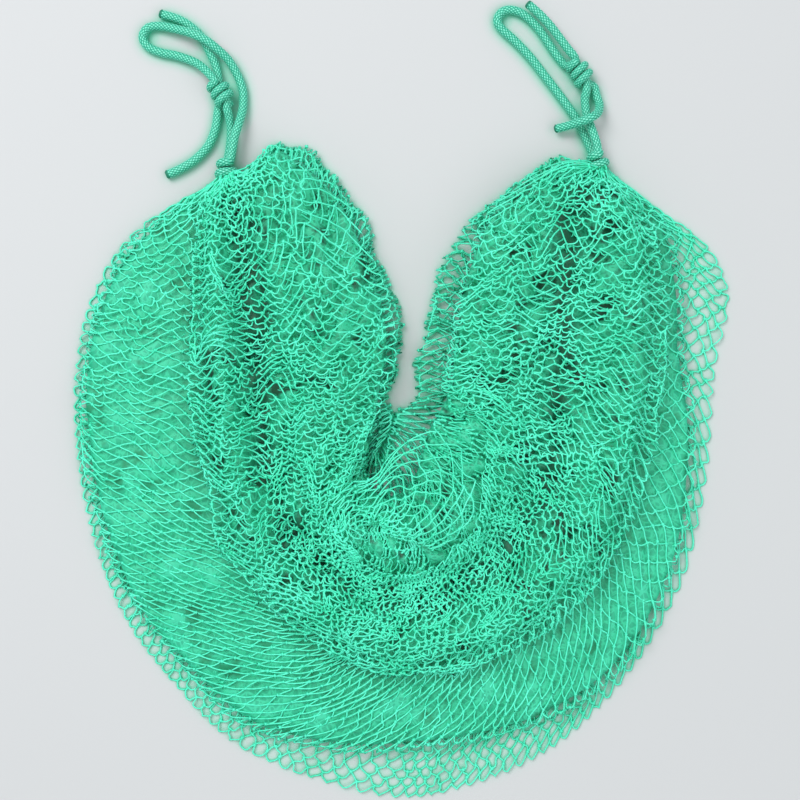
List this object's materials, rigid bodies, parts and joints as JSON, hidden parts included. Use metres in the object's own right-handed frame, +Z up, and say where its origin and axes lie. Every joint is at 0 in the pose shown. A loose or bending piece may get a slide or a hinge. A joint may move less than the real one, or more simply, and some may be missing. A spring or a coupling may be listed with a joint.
{
  "type": "fishing net",
  "caption": "Knotted twine fishing net lying folded in a horseshoe pile, with a knotted braided cord hitched to each gathered end.",
  "frame": {"origin": "centre of the netting's footprint, at the surface that it lies on", "axes": "+Z up; +Y towards the two gathered ends; +X to the right lobe"},
  "size_m": [0.3619, 0.4401, 0.0402],
  "materials": {
    "net_twine": "twisted mint-green polyethylene twine, knotted, soft sheen",
    "braided_cord": "braided mint-green polyethylene cord, soft sheen"
  },
  "bodies": {
    "root": {"net": "net_twine", "left_loop": "braided_cord", "left_riser": "braided_cord", "left_upper_tail": "braided_cord", "left_lower_tail": "braided_cord", "left_knot": "braided_cord", "left_hitch": "braided_cord", "right_loop": "braided_cord", "right_riser": "braided_cord", "right_upper_tail": "braided_cord", "right_lower_tail": "braided_cord", "right_knot": "braided_cord", "right_hitch": "braided_cord"}
  },
  "joints": []
}
